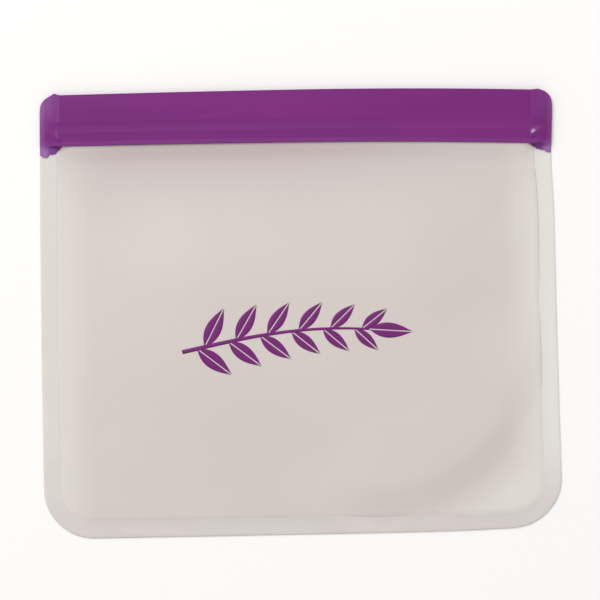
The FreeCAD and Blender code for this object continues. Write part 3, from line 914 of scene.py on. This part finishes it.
def make_strip_end(name):
    """One crushed end: a skin that laps over the strip, a crushed block and a tail over the border."""
    end = ENDS[name]
    side = end["side"]
    bm = grid((-SKIN, 0), (SEAM_WIDTH, 1), 0.25 * MM, rows=86)
    pale = bm.verts.layers.float.new("thinness")
    violet = bm.verts.layers.float.new("violet")
    gloss = bm.verts.layers.float.new("gloss")
    rise = bmesh.ops.extrude_face_region(bm, geom=list(bm.faces))
    upper = {item for item in rise["geom"] if isinstance(item, bmesh.types.BMVert)}
    for vert in bm.verts:
        out, along_end = vert.co.x, vert.co.y
        low = BAND_FOOT - along(end["foot"], out / MM) * MM
        y = low + (end_top(out, end) - low) * along_end
        top = end_face(out, y, end)
        base = 0.5 * SEAM_THICK * eased((BAND_FOOT + 1.4 * MM - y) / (0.8 * MM))
        if out < 0.1 * MM:
            base = top - 0.3 * MM
        vert[pale], vert[violet], vert[gloss] = end_tones(out, y, end)
        vert.co = (side * (WELD_SIDE + out), y, top if vert in upper else base)
    bmesh.ops.recalc_face_normals(bm, faces=bm.faces)
    lie(bm)
    node = f"{name}_zip_end"
    obj = piece(f"{name}_strip_end", bm, shared("melted_strip", fused_material), "fused_strip", node)
    soften(obj, 0.15 * MM)
    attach(obj, BACK)


# ---------------------------------------------------------------- the print

def leaf_mesh(bm, root, angle, long, wide, vein):
    """One printed leaf: two pointed halves with a bare vein between them."""
    for half in (-1, 1):
        part = bmesh.new()
        bmesh.ops.create_grid(part, x_segments=14, y_segments=3, size=0.5)
        for vert in part.verts:
            x, y = vert.co.x + 0.5, vert.co.y + 0.5
            full = 4 * x * (1 - x) * (1 - 0.25 * (2 * x - 1))
            vert.co = (x * long, half * (vein / 2 + y * max(0.0, wide / 2 * full - vein / 2)), 0)
        bmesh.ops.remove_doubles(part, verts=part.verts, dist=0.01 * MM)
        bmesh.ops.rotate(part, verts=part.verts, cent=(0, 0, 0), matrix=Matrix.Rotation(angle, 3, "Z"))
        bmesh.ops.translate(part, verts=part.verts, vec=(*root, 0))
        copy_into(bm, part)


def copy_into(bm, part):
    """Adds a small mesh to a larger one."""
    mesh = bpy.data.meshes.new("part")
    part.to_mesh(mesh)
    part.free()
    bm.from_mesh(mesh)
    bpy.data.meshes.remove(mesh)


def make_print(sheet):
    """A plain sprig in ink: a curved stem with pairs of leaves, laid on the front sheet."""
    low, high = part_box("front_print")
    ink = settings().print_
    wide, middle = high.x - low.x, (low.y + high.y) / 2
    stem_long, pairs, vein = 0.8 * wide, 6, 0.45 * MM

    def stem_at(share):
        return Vector((low.x + share * stem_long, middle - 5.5 * MM + 8.5 * MM * math.sin(share * 1.9)))

    def stem_slope(share):
        return stem_at(share + 0.01) - stem_at(share - 0.01)

    bm = grid((0, -0.5), (1, 0.5), 1 / 60, rows=1)
    for vert in bm.verts:
        share, side = vert.co.x, vert.co.y
        slope = stem_slope(share)
        across = Vector((-slope.y, slope.x)).normalized() * (1.7 - 0.9 * share) * MM * side
        vert.co = (*(stem_at(share) + across), 0)
    for pair in range(pairs):
        share = 0.1 + 0.84 * pair / (pairs - 1)
        slope = stem_slope(share)
        heading, long = math.atan2(slope.y, slope.x), (17.5 - 5.0 * share) * MM
        for side in (-1, 1):
            angle = heading + side * math.radians(52 - 12 * share)
            leaf_mesh(bm, stem_at(share + 0.02 * side), angle, long, 0.36 * long, vein)
    slope = stem_slope(0.99)
    leaf_mesh(bm, stem_at(1.0), math.atan2(slope.y, slope.x), 17 * MM, 6 * MM, vein)
    lie(bm)
    surface = BVHTree.FromObject(sheet, bpy.context.evaluated_depsgraph_get())
    above = 50 * MM
    for vert in bm.verts:
        hit = surface.ray_cast(Vector((vert.co.x, vert.co.y, above)), Vector((0, 0, -1)))[0]
        vert.co.z = hit.z + 0.6 * ink.thick
    obj = piece("sprig_print", bm, shared("flat_ink", ink_material), "printed_ink", "front_print")
    thicken(obj, ink.thick)
    bow(obj)


# ---------------------------------------------------------------- the stage

def soft_light(name, place, size, power):
    """A large round lamp that shines at the bag."""
    data = bpy.data.lights.new(name, "AREA")
    data.shape = "DISK"
    data.size = size
    data.energy = power
    lamp = bpy.data.objects.new(name, data)
    bpy.context.scene.collection.objects.link(lamp)
    lamp.location = place
    lamp.rotation_mode = "QUATERNION"
    lamp.rotation_quaternion = (-Vector(place)).to_track_quat("-Z", "Y")


def make_floor():
    """A pale floor, a hair below the bag."""
    half, gap = 3, 0.05 * MM
    bm = grid((-half, -half), (half, half), 1)
    bmesh.ops.translate(bm, vec=(0, 0, -gap), verts=bm.verts)
    mesh = bpy.data.meshes.new("floor")
    bm.to_mesh(mesh)
    bm.free()
    mesh.materials.append(floor_material())
    floor = bpy.data.objects.new("floor", mesh)
    bpy.context.scene.collection.objects.link(floor)


def make_camera():
    """A long lens straight above the bag, turned so that the bag lies slightly askew."""
    stage = settings().stage
    centre_x, centre_y, sensor = 0.1 * MM, 4.75 * MM, 36
    data = bpy.data.cameras.new("camera")
    data.lens = stage.lens
    data.sensor_width = sensor
    camera = bpy.data.objects.new("camera", data)
    bpy.context.scene.collection.objects.link(camera)
    camera.location = (centre_x, centre_y, stage.across * data.lens / sensor)
    camera.rotation_euler = (0, 0, -stage.turn)
    bpy.context.scene.camera = camera


def make_stage():
    """The floor, the light all round, one large soft lamp and the camera."""
    stage = settings().stage
    scene = bpy.context.scene
    make_floor()
    world = bpy.data.worlds.new("room")
    world.use_nodes = True
    background = world.node_tree.nodes["Background"]
    background.inputs["Color"].default_value = (*stage.sky, 1)
    background.inputs["Strength"].default_value = stage.room_light
    scene.world = world
    soft_light("key", place=(-1.0, 1.46, 1.97), size=1.6, power=stage.key_light)
    make_camera()
    scene.view_settings.view_transform = "Standard"


# ---------------------------------------------------------------- operators and panel

class BAG_OT_border(bpy.types.Operator):
    """Makes the welded border round the sides and the bottom"""
    bl_idname = "bag.border"
    bl_label = "Welded border"

    def execute(self, context):
        make_border()
        return {"FINISHED"}


class BAG_OT_sheets(bpy.types.Operator):
    """Makes the two sheets of film, and the print on the front one"""
    bl_idname = "bag.sheets"
    bl_label = "Film and print"

    def execute(self, context):
        make_back_film()
        make_print(make_front_film())
        return {"FINISHED"}


class BAG_OT_strips(bpy.types.Operator):
    """Makes the two tapes of the closure strip"""
    bl_idname = "bag.strips"
    bl_label = "Closure strip"

    def execute(self, context):
        make_back_strip()
        make_front_strip()
        return {"FINISHED"}


class BAG_OT_tracks(bpy.types.Operator):
    """Makes the ribs and the channels inside the strip"""
    bl_idname = "bag.tracks"
    bl_label = "Tracks"

    def execute(self, context):
        for track in ("upper", "lower"):
            make_rib(track)
            make_channel(track)
        return {"FINISHED"}


class BAG_OT_strip_ends(bpy.types.Operator):
    """Makes the crushed ends of the strip"""
    bl_idname = "bag.strip_ends"
    bl_label = "Crushed ends"

    def execute(self, context):
        for name in ENDS:
            make_strip_end(name)
        return {"FINISHED"}


class BAG_OT_stage(bpy.types.Operator):
    """Makes the floor, the lights and the camera"""
    bl_idname = "bag.stage"
    bl_label = "Stage"

    def execute(self, context):
        make_stage()
        return {"FINISHED"}


OPERATORS = (BAG_OT_border, BAG_OT_sheets, BAG_OT_strips, BAG_OT_tracks, BAG_OT_strip_ends, BAG_OT_stage)


class BAG_PT_panel(bpy.types.Panel):
    """Lists the pieces of the bag"""
    bl_idname = "BAG_PT_panel"
    bl_label = "Film bag"
    bl_space_type = "VIEW_3D"
    bl_region_type = "UI"
    bl_category = "Bag"

    def draw(self, context):
        for operator in OPERATORS:
            self.layout.operator(operator.bl_idname)
        for name, group in GROUPS.items():
            box = self.layout.box()
            for field in group.__annotations__:
                box.prop(getattr(context.scene.bag, name), field)


CLASSES = (*GROUPS.values(), BAG_PG_settings, *OPERATORS, BAG_PT_panel)


def register():
    for cls in CLASSES:
        bpy.utils.register_class(cls)
    bpy.types.Scene.bag = PointerProperty(type=BAG_PG_settings)


def unregister():
    del bpy.types.Scene.bag
    for cls in reversed(CLASSES):
        bpy.utils.unregister_class(cls)


def main():
    register()
    for operator in OPERATORS:
        group, name = operator.bl_idname.split(".")
        getattr(getattr(bpy.ops, group), name)()


if __name__ == "__main__":
    main()
